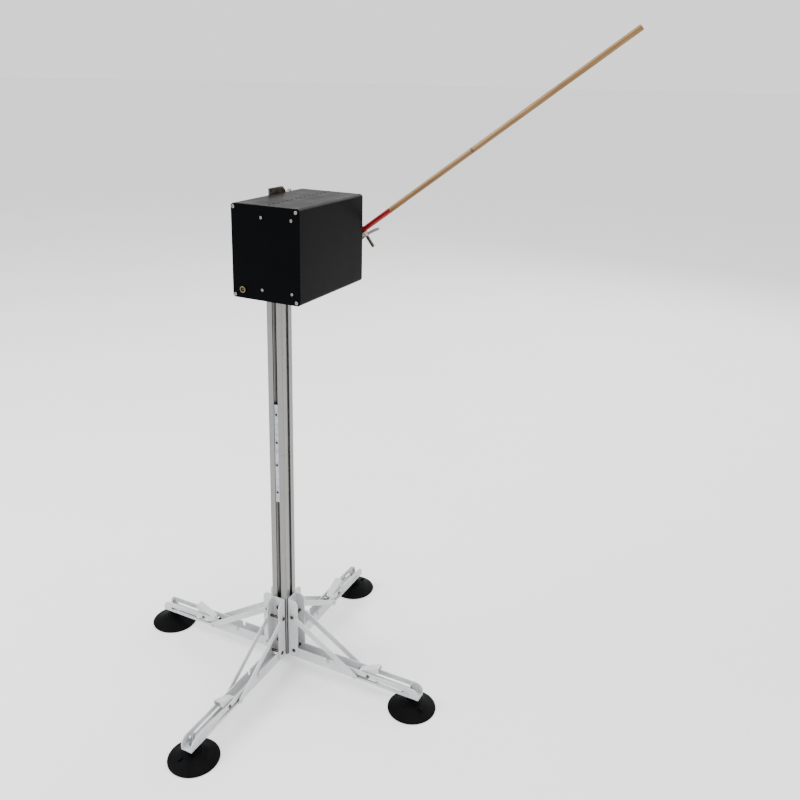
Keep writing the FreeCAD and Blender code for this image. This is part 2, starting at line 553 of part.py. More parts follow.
def leg_arm():
    """The U-shaped arm, open upwards, with its guide slots and the notch that clears the upper pin."""
    half = ARM_WIDTH / 2
    inner = half - ARM_SHEET
    r_a, z_a = PIVOT_A
    x0 = r_a - 6.0
    arm = box(x0, ARM_END, -half, half, ARM_BOTTOM, ARM_TOP)
    bottom = [e for e in arm.Edges if abs(abs(e.tangentAt(e.FirstParameter).x) - 1) < 1e-6
              and e.CenterOfMass.z < ARM_BOTTOM + 1]
    arm = arm.makeFillet(1.8, bottom)
    arm = arm.cut(box(x0 - 1, ARM_END + 1, -inner, inner, ARM_BOTTOM + ARM_SHEET, ARM_TOP + 1))
    wide = (-half - 1, ARM_WIDTH + 2)
    heel = box(x0 - 1, r_a, wide[0], wide[0] + wide[1], z_a, ARM_TOP + 1)
    arm = arm.cut(heel.cut(rod(12.0, (r_a, wide[0], z_a), Y_AXIS, wide[1])))
    toe = box(ARM_END - ARM_END_RADIUS, ARM_END + 1, wide[0], wide[0] + wide[1],
              ARM_TOP - ARM_END_RADIUS, ARM_TOP + 1)
    centre = (ARM_END - ARM_END_RADIUS, wide[0], ARM_TOP - ARM_END_RADIUS)
    keep = rod(2 * ARM_END_RADIUS, centre, Y_AXIS, wide[1])
    arm = arm.cut(toe.cut(keep))
    arm = arm.cut(rod(PIN_DIAMETER + 0.1, (r_a, wide[0], z_a), Y_AXIS, wide[1]))
    arm = arm.cut(rod(4.0, (LEVER_L[0], wide[0], LEVER_L[1]), Y_AXIS, wide[1]))
    arm = arm.cut(slot_xz(LATCH_P[0], SLOT_END - SLIDE_SLOT_WIDTH / 2, LATCH_P[1], SLIDE_SLOT_WIDTH,
                          wide[0], wide[1]))
    # where the upper pin lies when the arm is folded; the notch goes at least NOTCH_DEPTH down
    fold = math.radians(FOLD_ANGLE)
    off_r = PIVOT_B[0] - r_a
    off_z = PIVOT_B[1] - z_a
    notch_r = r_a + off_r * math.cos(fold) + off_z * math.sin(fold)
    notch_z = z_a - off_r * math.sin(fold) + off_z * math.cos(fold)
    notch_z = min(notch_z, ARM_TOP - NOTCH_DEPTH)
    clear = PIN_DIAMETER + 1.2
    notch = rod(clear, (notch_r, wide[0], notch_z), Y_AXIS, wide[1])
    notch = notch.fuse(box(notch_r - clear / 2, notch_r + clear / 2, wide[0], wide[0] + wide[1],
                           notch_z, ARM_TOP + 1))
    arm = arm.cut(notch)
    for r0, r1 in ((176.0, 188.0), (197.0, 243.0)):
        for r in (r0, r1):
            arm = arm.cut(rod(6.0, (r, 0, ARM_BOTTOM - 1), Z_AXIS, 5))
        arm = arm.cut(box(r0, r1, -3, 3, ARM_BOTTOM - 1, ARM_BOTTOM + 4))
    arm = arm.cut(rod(STUD_DIAMETER + 0.4, (CUP_AT, 0, ARM_BOTTOM - 1), Z_AXIS, 5))
    for r in (197.0, 214.0):
        arm = arm.cut(rod(2.0, (r, wide[0], 39.5), Y_AXIS, wide[1]))
    return arm


def leg_links():
    """The two flat links from the upper rail pin to the arm, with the button heads at their feet."""
    dr = LATCH_P[0] - PIVOT_B[0]
    dz = LATCH_P[1] - PIVOT_B[1]
    length = math.hypot(dr, dz)
    slope = math.degrees(math.atan2(dz, dr))
    solids = []
    for side in (-1, 1):
        y0 = LINK_INSIDE if side > 0 else -LINK_INSIDE - LINK_SHEET
        link = slot_xz(0, length, 0, LINK_WIDTH, y0, LINK_SHEET)
        link = link.cut(rod(PIN_DIAMETER + 0.1, (0, y0 - 1, 0), Y_AXIS, LINK_SHEET + 2))
        out = side * (LINK_INSIDE + LINK_SHEET)
        head = rod(PIN_HEAD, (length, out, 0), V(0, side, 0), 1.3)
        rim = round_edges(head, lambda c: abs(c.y) > LINK_INSIDE + LINK_SHEET + 1)
        link = link.fuse(head.makeFillet(0.6, rim))
        link = link.cut(rod(PIN_DIMPLE, (length, out + side * 0.4, 0), V(0, side, 0), 2))
        link.rotate(V(0, 0, 0), Y_AXIS, -slope)
        link.translate(V(PIVOT_B[0], 0, PIVOT_B[1]))
        solids.append(link)
    return solids


def slide_pin():
    """The cross pin that runs in both guide slots, with a collar outside each flange."""
    reach = LINK_INSIDE - 0.4
    pin = rod(PIN_DIAMETER, (LATCH_P[0], -reach, LATCH_P[1]), Y_AXIS, 2 * reach)
    for side in (-1, 1):
        inner = side * (ARM_WIDTH / 2 + 0.35)
        pin = pin.fuse(rod(6.0, (LATCH_P[0], inner, LATCH_P[1]), V(0, side, 0), reach - abs(inner)))
    return pin.removeSplitter()


def lever_pin():
    out = ARM_WIDTH / 2
    pin = rod(4.0, (LEVER_L[0], -out, LEVER_L[1]), Y_AXIS, 2 * out)
    for side in (-1, 1):
        pin = pin.fuse(rod(6.0, (LEVER_L[0], side * out, LEVER_L[1]), V(0, side, 0), 1.2))
    return pin


def release_lever():
    """A bent-sheet lever: a sloping top plate with two cheeks that turn on the lever pin."""
    tip_r, tip_z = LEVER_TIP
    heel_r, heel_z = LEVER_HEEL
    low = LATCH_P[1] + PIN_DIAMETER / 2 + 0.5
    side = [(heel_r, low), (LEVER_L[0] + 6, low), (LEVER_L[0] + 9.5, low + 4.5), (tip_r, tip_z - 6.5),
            (tip_r, tip_z), (tip_r - 1.5, tip_z + 0.4), (heel_r + 2, heel_z + 1.0), (heel_r, heel_z - 1.0)]
    body = plate_xz(side, -LEVER_HALF, 2 * LEVER_HALF)
    slope = math.atan2(tip_z + 0.4 - heel_z - 1.0, tip_r - 1.5 - heel_r - 2)
    drop = LEVER_SHEET / math.cos(slope)
    hollow = [(heel_r - 1, low - 1), (tip_r + 1, low - 1), (tip_r + 1, tip_z + 1.3 - drop),
              (heel_r - 1, heel_z - 0.5 - drop)]
    inner = LEVER_HALF - LEVER_SHEET
    lever = body.cut(plate_xz(hollow, -inner, 2 * inner))
    return lever.cut(rod(4.1, (LEVER_L[0], -LEVER_HALF - 1, LEVER_L[1]), Y_AXIS, 2 * LEVER_HALF + 2))


def suction_cup():
    """A rubber bell: flared lip, thin dome and a neck bored for the stud."""
    top = ARM_BOTTOM
    lip = CUP_RADIUS
    outer = [V(lip, 0, 0), V(lip, 0, 1.0)]
    flare = Part.BSplineCurve()
    flare.interpolate([V(lip, 0, 1.0), V(34, 0, 4.4), V(24, 0, 8.6), V(14.0, 0, 11.6)])
    inside = Part.BSplineCurve()
    inside.interpolate([V(10.0, 0, 8.4), V(22, 0, 6.0), V(32, 0, 2.9), V(lip - 1.6, 0, 0)])
    edges = [Part.LineSegment(outer[0], outer[1]).toShape(), flare.toShape(),
             Part.LineSegment(V(14.0, 0, 11.6), V(13.0, 0, 13.4)).toShape(),
             Part.LineSegment(V(13.0, 0, 13.4), V(11.0, 0, 14.4)).toShape(),
             Part.LineSegment(V(11.0, 0, 14.4), V(10.0, 0, top)).toShape(),
             Part.LineSegment(V(10.0, 0, top), V(STUD_DIAMETER / 2, 0, top)).toShape(),
             Part.LineSegment(V(STUD_DIAMETER / 2, 0, top), V(STUD_DIAMETER / 2, 0, 11.0)).toShape(),
             Part.LineSegment(V(STUD_DIAMETER / 2, 0, 11.0), V(0, 0, 11.0)).toShape(),
             Part.LineSegment(V(0, 0, 11.0), V(0, 0, 8.4)).toShape(),
             Part.LineSegment(V(0, 0, 8.4), V(10.0, 0, 8.4)).toShape(),
             inside.toShape(), Part.LineSegment(V(lip - 1.6, 0, 0), V(lip, 0, 0)).toShape()]
    cup = Part.Face(Part.Wire(edges)).revolve(V(0, 0, 0), Z_AXIS, 360)
    tab = box(20, 27, -2.0, 2.0, 8.0, 12.4)
    tab.rotate(V(0, 0, 0), Z_AXIS, -25)
    cup = cup.fuse(tab)
    cup.translate(V(CUP_AT, 0, 0))
    return cup


def cup_fixings():
    """The stud moulded into the cup, with its washer and nut on the arm's floor."""
    floor = ARM_BOTTOM + ARM_SHEET
    stud = rod(STUD_DIAMETER, (CUP_AT, 0, 11.0), Z_AXIS, STUD_TOP - 11.0)
    stud = stud.makeChamfer(0.8, round_edges(stud, lambda c: c.z > STUD_TOP - 1))
    washer = rod(12.0, (CUP_AT, 0, floor), Z_AXIS, 1.2)
    washer = washer.cut(rod(STUD_DIAMETER, (CUP_AT, 0, floor - 1), Z_AXIS, 4))
    nut = hexagon(10.0, (CUP_AT, 0, floor + 1.2), Z_AXIS, 5.0)
    nut = nut.cut(rod(STUD_DIAMETER, (CUP_AT, 0, floor), Z_AXIS, 8))
    return [stud, washer, nut]


def make_legs():
    fixings = []
    pins = []
    for name, angle in LEG_NAMES.items():
        pieces = {"leg_rail": [leg_rail()], "leg_arm": [leg_arm()], "leg_links": leg_links(),
                  "leg_slide_pin": [slide_pin()], "leg_lever": [release_lever()],
                  "leg_lever_pin": [lever_pin()], "suction_cup": [suction_cup()],
                  "leg_cup_stud": cup_fixings()}
        for part, solids in pieces.items():
            for solid in solids:
                solid.rotate(V(0, 0, 0), Z_AXIS, angle)
            save("%s_%s" % (name, part), *solids)
        for group, made in ((fixings, rail_fixings()), (pins, rail_pins())):
            for solid in made:
                solid.rotate(V(0, 0, 0), Z_AXIS, angle)
                group.append(solid)
    save("rail_screws", *fixings)
    save("rail_pins", *pins)


os.makedirs("parts", exist_ok=True)
make_column()
make_housing()
make_board()
make_drive()
make_stick()
make_side_bracket()
make_legs()
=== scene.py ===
"""Ball pitching machine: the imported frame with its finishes, threads, stick and suction cups."""

import json
import math

import bmesh
import bpy
import numpy as np
from mathutils import Matrix, Vector


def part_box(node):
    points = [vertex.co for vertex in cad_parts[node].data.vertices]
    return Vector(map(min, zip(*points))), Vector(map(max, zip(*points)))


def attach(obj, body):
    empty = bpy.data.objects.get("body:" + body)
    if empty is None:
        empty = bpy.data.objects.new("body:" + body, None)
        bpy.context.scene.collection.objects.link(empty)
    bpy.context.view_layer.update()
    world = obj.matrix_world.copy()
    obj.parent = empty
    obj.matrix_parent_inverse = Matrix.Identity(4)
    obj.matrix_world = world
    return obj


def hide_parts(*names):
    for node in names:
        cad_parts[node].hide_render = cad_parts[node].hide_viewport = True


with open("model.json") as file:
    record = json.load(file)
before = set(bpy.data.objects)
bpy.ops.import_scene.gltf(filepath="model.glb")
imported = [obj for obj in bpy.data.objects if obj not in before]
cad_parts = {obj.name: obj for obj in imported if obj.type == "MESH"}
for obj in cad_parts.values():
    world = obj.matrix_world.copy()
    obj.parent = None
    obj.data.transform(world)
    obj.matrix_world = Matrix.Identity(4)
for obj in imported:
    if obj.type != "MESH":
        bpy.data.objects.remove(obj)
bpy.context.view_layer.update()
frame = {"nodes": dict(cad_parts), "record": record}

LEGS = {"right": 0.0, "rear": 90.0, "left": 180.0, "front": 270.0}
STICK_TILT = math.radians(37.0)
STICK_AXIS = np.array([math.cos(STICK_TILT), 0.0, math.sin(STICK_TILT)])
STICK_SIDE = np.array([-math.sin(STICK_TILT), 0.0, math.cos(STICK_TILT)])
SHAFT = np.array([0.0, 0.198, 0.7455])
STICK_RADIUS = 0.005
STICK_FROM = 0.006
STICK_TO = 0.635
PAINT_TO = 0.1286
KNOT_AT = 0.3146
CLAMP_AT = 0.060
CLAMP_TAIL = 0.0352
CLAMP_THREAD = 0.0214
BRACKET_THREAD_AT = (-0.075, 0.1045, 0.846)
BRACKET_THREAD = 0.0543
STUD_THREAD_AT = 0.0318
STUD_CHAMFER = 0.0009
THREAD_CORE = 0.00296
THREAD_PITCH = 0.001
THREAD_RISE = 0.0002
TAB_HALF = 0.0022
INLET_X = -0.0433
INLET_Z = 0.712
FLOOR_LEVEL = -0.0004


# ---------------------------------------------------------------- surfaces


def sheet_faces(rows, columns, round_columns=True):
    """Quads joining neighbours of a grid of points kept row by row; a round direction joins its ends."""
    r = np.arange(rows - 1)[:, None]
    c = np.arange(columns if round_columns else columns - 1)[None, :]
    after = (c + 1) % columns
    quads = np.stack([r * columns + c, r * columns + after, (r + 1) * columns + after,
                      (r + 1) * columns + c], axis=-1)
    return quads.reshape(-1, 4)


def new_piece(name, points, faces, body, material, smooth=True):
    """Put a surface into a mesh, close its seams and poles, point its faces out and let it ride."""
    mesh = bpy.data.meshes.new(name)
    mesh.from_pydata(points.reshape(-1, 3).tolist(), [], faces.tolist())
    shape = bmesh.new()
    shape.from_mesh(mesh)
    bmesh.ops.remove_doubles(shape, verts=shape.verts, dist=2e-6)
    bmesh.ops.dissolve_degenerate(shape, edges=shape.edges, dist=1e-7)
    bmesh.ops.recalc_face_normals(shape, faces=shape.faces)
    shape.to_mesh(mesh)
    shape.free()
    mesh.polygons.foreach_set("use_smooth", np.full(len(mesh.polygons), smooth))
    mesh.materials.append(material)
    piece = bpy.data.objects.new(name, mesh)
    bpy.context.scene.collection.objects.link(piece)
    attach(piece, body)
    return piece


def across(axis):
    """Two unit vectors square to an axis and to each other."""
    axis = np.asarray(axis, float)
    helper = np.array([0.0, 1.0, 0.0]) if abs(axis[1]) < 0.9 else np.array([1.0, 0.0, 0.0])
    first = np.cross(helper, axis)
    first /= np.linalg.norm(first)
    return first, np.cross(axis, first)


def turned(profile, centre, axis, segments):
    """Surface of revolution: radius(u) and height(u) from the profile, carried round the axis by v.

    point = centre + height(u) * axis + radius(u) * (cos v * first + sin v * second).
    """
    profile = np.asarray(profile, float)
    first, second = across(axis)
    v = np.linspace(0, 2 * np.pi, segments, endpoint=False)
    ring = np.cos(v)[:, None] * first + np.sin(v)[:, None] * second
    points = (np.asarray(centre) + profile[:, 1, None, None] * np.asarray(axis, float)
              + profile[:, 0, None, None] * ring[None])
    return points, sheet_faces(len(profile), segments)


def smooth_profile(corners, steps):
    """A profile through its corners: each span is a Catmull-Rom cubic of the four corners round it."""
    p = np.asarray(corners, float)
    p = np.vstack([2 * p[0] - p[1], p, 2 * p[-1] - p[-2]])
    t = np.linspace(0, 1, steps, endpoint=False)[None, :, None]
    a, b, c, d = p[:-3, None], p[1:-2, None], p[2:-1, None], p[3:, None]
    curve = 0.5 * (2 * b + (c - a) * t + (2 * a - 5 * b + 4 * c - d) * t ** 2
                   + (3 * b - a - 3 * c + d) * t ** 3)
    return np.vstack([curve.reshape(-1, 2), p[-2]])


def thread(start, axis, length, core, pitch, rise):
    """Screw thread on a shank: radius = core + rise * triangle(height / pitch - angle / 2 pi).

    The triangle wave runs from 0 to 1 and back in each pitch, and fades out over the last half
    pitch at both ends, where the surface closes on the axis.
    """
    first, second = across(axis)
    rows = int(length / pitch * 8) + 1
    height = np.linspace(0, length, rows)
    v = np.linspace(0, 2 * np.pi, 28, endpoint=False)
    phase = (height[:, None] / pitch - v[None, :] / (2 * np.pi)) % 1.0
    wave = 1 - np.abs(2 * phase - 1)
    fade = np.clip(np.minimum(height, length - height) / (0.5 * pitch), 0, 1)[:, None]
    radius = core + rise * wave * fade
    radius = np.vstack([np.zeros((1, 28)), radius, np.zeros((1, 28))])
    height = np.concatenate([[0.0], height, [length]])
    ring = np.cos(v)[:, None] * first + np.sin(v)[:, None] * second
    points = (np.asarray(start) + height[:, None, None] * np.asarray(axis, float)
              + radius[:, :, None] * ring[None])
    return points, sheet_faces(rows + 2, 28)


def stick_surface():
    """Round stick: radius(s, v) = 5 mm, less the hand-sanded unevenness and the rounded tip.

    s runs along the stick and v round it. The painted butt is one coat thicker, and its edge is a
    steep smooth step. The unevenness is a sum of three slow waves in s and v.
    """
    s = np.concatenate([[STICK_FROM], np.linspace(STICK_FROM, STICK_TO - 0.0022, 420),
                        STICK_TO - 0.0022 + 0.0022 * np.sin(np.linspace(0.15, np.pi / 2, 9))])
    v = np.linspace(0, 2 * np.pi, 48, endpoint=False)
    uneven = (0.000045 * np.sin(61 * s[:, None] + 2 * v) + 0.00003 * np.sin(147 * s[:, None] - v)
              + 0.00002 * np.sin(419 * s[:, None] + 3 * v + 1))
    coat = 0.00006 / (1 + np.exp(np.clip((s[:, None] - PAINT_TO - 0.0004 * np.sin(4 * v)) / 0.00012,
                                         -60, 60)))
    left = np.clip((STICK_TO - s) / 0.0022, 0, 1)
    tip = 0.0022 * (1 - np.sqrt(np.clip(1 - (1 - left) ** 2, 0, 1)))
    radius = STICK_RADIUS - 0.00011 + uneven + coat - tip[:, None]
    radius[0] = 0.0
    radius = np.vstack([radius, np.zeros((1, 48))])
    s = np.concatenate([s, [STICK_TO]])
    ring = np.cos(v)[:, None] * STICK_SIDE + np.sin(v)[:, None] * np.array([0.0, 1.0, 0.0])
    points = SHAFT + s[:, None, None] * STICK_AXIS + radius[:, :, None] * ring[None]
    return points, sheet_faces(len(s), 48)


def pull_tab(centre, angle):
    """The cup's finger tab: a rounded tongue, a superellipse section carried outwards and up.

    Section(v) = (w cos v, h sin v) with both terms raised to the power 0.5, swept along u from the
    flank of the cup; its width narrows to a rounded end.
    """
    u = np.linspace(0, 1, 14)
    v = np.linspace(0, 2 * np.pi, 20, endpoint=False)
    cosine, sine = np.cos(v), np.sin(v)
    wide = TAB_HALF * np.sqrt(np.clip(1 - (u * 0.999) ** 6, 0, 1))
    high = wide * (1 - 0.2 * u)
    outwards = np.array([math.cos(angle), math.sin(angle), 0.0])
    sideways = np.array([-math.sin(angle), math.cos(angle), 0.0])
    path = 0.019 + 0.009 * u
    level = 0.0100 + 0.0006 * u
    section_w = np.sign(cosine) * np.abs(cosine) ** 0.5
    section_h = np.sign(sine) * np.abs(sine) ** 0.5
    points = (np.asarray(centre) + path[:, None, None] * outwards
              + (wide[:, None] * section_w)[:, :, None] * sideways
              + (level[:, None] + high[:, None] * section_h)[:, :, None] * np.array([0.0, 0.0, 1.0]))
    middle = points.mean(axis=1, keepdims=True)
    points = np.concatenate([np.repeat(middle[:1], 20, 1), points, np.repeat(middle[-1:], 20, 1)])
    return points, sheet_faces(len(u) + 2, 20)


# ---------------------------------------------------------------- finishes


def node(tree, kind, **settings):
    """A shader node of that kind, with its plain settings."""
    made = tree.nodes.new("ShaderNode" + kind)
    for key, value in settings.items():
        setattr(made, key, value)
    return made


def finish(name, metallic=0.0, roughness=0.5, colour=(0.8, 0.8, 0.8), specular=0.5, coat=0.0,
           coat_roughness=0.05):
    """A material with its shader's even values set on the shader itself."""
    material = bpy.data.materials.new(name)
    material.use_nodes = True
    tree = material.node_tree
    shader = tree.nodes["Principled BSDF"]
    shader.inputs["Base Color"].default_value = (*colour, 1.0)
    shader.inputs["Metallic"].default_value = metallic
    shader.inputs["Roughness"].default_value = roughness
    shader.inputs["Specular IOR Level"].default_value = specular
    shader.inputs["Coat Weight"].default_value = coat
    shader.inputs["Coat Roughness"].default_value = coat_roughness
    return material, tree, shader


def place(tree, scale=(1, 1, 1), turn=(0, 0, 0), shift=(0, 0, 0)):
    """Object coordinates, shifted, then turned and stretched, in metres."""
    coordinates = node(tree, "TexCoord")
    shifted = node(tree, "Mapping")
    shifted.inputs["Location"].default_value = shift
    tree.links.new(coordinates.outputs["Object"], shifted.inputs["Vector"])
    turned_to = node(tree, "Mapping")
    turned_to.inputs["Rotation"].default_value = turn
    tree.links.new(shifted.outputs["Vector"], turned_to.inputs["Vector"])
    stretched = node(tree, "Mapping")
    stretched.inputs["Scale"].default_value = scale
    tree.links.new(turned_to.outputs["Vector"], stretched.inputs["Vector"])
    return stretched.outputs["Vector"]


def noise(tree, vector, scale, detail=3.0, rough=0.5):
    made = node(tree, "TexNoise")
    made.inputs["Scale"].default_value = scale
    made.inputs["Detail"].default_value = detail
    made.inputs["Roughness"].default_value = rough
    tree.links.new(vector, made.inputs["Vector"])
    return made.outputs["Fac"]


def spread(tree, value, low, high, to_low, to_high):
    """Carry a value from one range to another, clamped."""
    made = node(tree, "MapRange")
    for key, number in (("From Min", low), ("From Max", high), ("To Min", to_low), ("To Max", to_high)):
        made.inputs[key].default_value = number
    tree.links.new(value, made.inputs["Value"])
    return made.outputs["Result"]


def sums(tree, operation, first, second):
    made = node(tree, "Math", operation=operation)
    for socket, term in ((0, first), (1, second)):
        if isinstance(term, (int, float)):
            made.inputs[socket].default_value = term
        else:
            tree.links.new(term, made.inputs[socket])
    return made.outputs["Value"]


def shades(tree, value, stops):
    """A run of colours along a value: stops are (place, colour)."""
    made = node(tree, "ValToRGB")
    ramp = made.color_ramp
    while len(ramp.elements) < len(stops):
        ramp.elements.new(0.5)
    for element, (at, colour) in zip(ramp.elements, stops):
        element.position = at
        element.color = (*colour, 1.0)
    tree.links.new(value, made.inputs["Fac"])
    return made.outputs["Color"]


def blend_colours(tree, share, first, second):
    """The first colour where share is 0 and the second where it is 1."""
    made = node(tree, "Mix", data_type="RGBA")
    tree.links.new(share, made.inputs["Factor"])
    for socket, colour in ((6, first), (7, second)):
        if isinstance(colour, tuple):
            made.inputs[socket].default_value = (*colour, 1.0)
        else:
            tree.links.new(colour, made.inputs[socket])
    return made.outputs[2]


def relief(tree, shader, height, strength, distance, rounding=0.0):
    """Bump from a height, over edges that are softened by the rounding radius."""
    made = node(tree, "Bump")
    made.inputs["Strength"].default_value = strength
    made.inputs["Distance"].default_value = distance
    tree.links.new(height, made.inputs["Height"])
    if rounding:
        edge = node(tree, "Bevel", samples=4)
        edge.inputs["Radius"].default_value = rounding
        tree.links.new(edge.outputs["Normal"], made.inputs["Normal"])
    tree.links.new(made.outputs["Normal"], shader.inputs["Normal"])


def drawn_metal(name, colour, roughness, stretch, grain=900.0, tint=0.08, rounding=0.0004):
    """Rolled or drawn metal: fine streaks along one axis, with cloudy patches of wear."""
    material, tree, shader = finish(name, metallic=1.0, roughness=roughness, colour=colour)
    streaks = noise(tree, place(tree, scale=stretch), grain, detail=4.0, rough=0.65)
    clouds = noise(tree, place(tree), 38.0, detail=5.0, rough=0.6)
    dark = tuple(c * (1 - 2 * tint) for c in colour)
    light = tuple(min(1.0, c * (1 + tint)) for c in colour)
    mixed = sums(tree, "ADD", sums(tree, "MULTIPLY", streaks, 0.6), sums(tree, "MULTIPLY", clouds, 0.4))
    tree.links.new(shades(tree, mixed, [(0.32, dark), (0.5, colour), (0.68, light)]),
                   shader.inputs["Base Color"])
    tree.links.new(spread(tree, mixed, 0.3, 0.7, roughness - 0.07, roughness + 0.09),
                   shader.inputs["Roughness"])
    relief(tree, shader, streaks, 0.12, 0.00008, rounding)
    return material


def zinc_plate():
    """Bluish bright zinc with its faint spangle and duller rubbed patches."""
    material, tree, shader = finish("zinc_steel", metallic=1.0, roughness=0.32, colour=(0.62, 0.66, 0.68))
    vector = place(tree)
    crystals = node(tree, "TexVoronoi")
    crystals.inputs["Scale"].default_value = 420.0
    tree.links.new(vector, crystals.inputs["Vector"])
    clouds = noise(tree, vector, 90.0, detail=5.0, rough=0.6)
    tone = sums(tree, "ADD", sums(tree, "MULTIPLY", crystals.outputs["Distance"], 0.35),
                sums(tree, "MULTIPLY", clouds, 0.8))
    tree.links.new(shades(tree, tone, [(0.3, (0.17, 0.20, 0.23)), (0.55, (0.28, 0.32, 0.35)),
                                       (0.8, (0.46, 0.50, 0.52))]), shader.inputs["Base Color"])
    tree.links.new(spread(tree, tone, 0.3, 0.8, 0.24, 0.42), shader.inputs["Roughness"])
    relief(tree, shader, clouds, 0.15, 0.00006, 0.0003)
    return material


def bronzed_pins():
    """Polished dark pins: brown oxide left in the hollows, brighter where they are rubbed."""
    material, tree, shader = finish("dark_steel", metallic=1.0, roughness=0.24, colour=(0.27, 0.22, 0.17))
    vector = place(tree)
    patches = noise(tree, vector, 260.0, detail=6.0, rough=0.65)
    tree.links.new(shades(tree, patches, [(0.35, (0.030, 0.024, 0.018)), (0.5, (0.075, 0.060, 0.046)),
                                          (0.68, (0.20, 0.175, 0.145))]), shader.inputs["Base Color"])
    tree.links.new(spread(tree, patches, 0.3, 0.7, 0.34, 0.18), shader.inputs["Roughness"])
    relief(tree, shader, patches, 0.1, 0.00006, 0.0003)
    return material


def white_enamel():
    """Stoved white enamel: slight orange peel, with cloudy grey handling marks and fine scuffs."""
    material, tree, shader = finish("white_enamel", roughness=0.3, specular=0.5, coat=0.25,
                                    coat_roughness=0.18)
    vector = place(tree)
    marks = noise(tree, vector, 22.0, detail=4.0, rough=0.5)
    scuffs = noise(tree, place(tree, scale=(1, 1, 0.25), turn=(0.3, 0.5, 0.2)), 300.0, detail=4.0,
                   rough=0.6)
    tone = sums(tree, "ADD", sums(tree, "MULTIPLY", marks, 0.6), sums(tree, "MULTIPLY", scuffs, 0.4))
    tree.links.new(shades(tree, tone, [(0.34, (0.42, 0.43, 0.44)), (0.44, (0.50, 0.51, 0.52)),
                                       (0.56, (0.545, 0.555, 0.565)), (0.7, (0.58, 0.59, 0.60))]),
                   shader.inputs["Base Color"])
    tree.links.new(spread(tree, marks, 0.35, 0.65, 0.42, 0.26), shader.inputs["Roughness"])
    peel = noise(tree, vector, 850.0, detail=2.0, rough=0.5)
    relief(tree, shader, peel, 0.16, 0.00012, 0.0005)
    return material


def black_coat(name, colour, roughness, specular, grain, dust):
    """Fine matt black: sandy grain, fingerprints as duller clouds and a trace of dust."""
    material, tree, shader = finish(name, roughness=roughness, specular=specular)
    vector = place(tree)
    clouds = noise(tree, vector, 26.0, detail=6.0, rough=0.62)
    sand = noise(tree, vector, grain, detail=2.0, rough=0.6)
    specks = noise(tree, vector, 1400.0, detail=1.0, rough=0.4)
    pale = tuple(c + dust for c in colour)
    tone = blend_colours(tree, spread(tree, specks, 0.68, 0.78, 0.0, 0.6), colour, pale)
    worn = blend_colours(tree, spread(tree, clouds, 0.45, 0.75, 0.0, 0.5), tone,
                         tuple(c * 1.5 for c in colour))
    tree.links.new(worn, shader.inputs["Base Color"])
    tree.links.new(spread(tree, clouds, 0.3, 0.7, roughness - 0.05, roughness + 0.08),
                   shader.inputs["Roughness"])
    relief(tree, shader, sand, 0.22, 0.00006, 0.0007)
    return material


def moulded_rubber():
    """Soft black rubber: bloom in clouds and a few dusty specks."""
    material, tree, shader = finish("rubber_black", roughness=0.45, specular=0.03)
    vector = place(tree)
    bloom = noise(tree, vector, 70.0, detail=6.0, rough=0.7)
    specks = noise(tree, vector, 1100.0, detail=2.0, rough=0.5)
    tone = blend_colours(tree, spread(tree, bloom, 0.4, 0.72, 0.0, 1.0), (0.0012, 0.0013, 0.0016),
                         (0.0034, 0.0035, 0.0040))
    dusty = blend_colours(tree, spread(tree, specks, 0.66, 0.74, 0.0, 0.5), tone, (0.014, 0.014, 0.0135))
    tree.links.new(dusty, shader.inputs["Base Color"])
    tree.links.new(spread(tree, bloom, 0.35, 0.7, 0.42, 0.62), shader.inputs["Roughness"])
    relief(tree, shader, specks, 0.2, 0.0001)
    return material


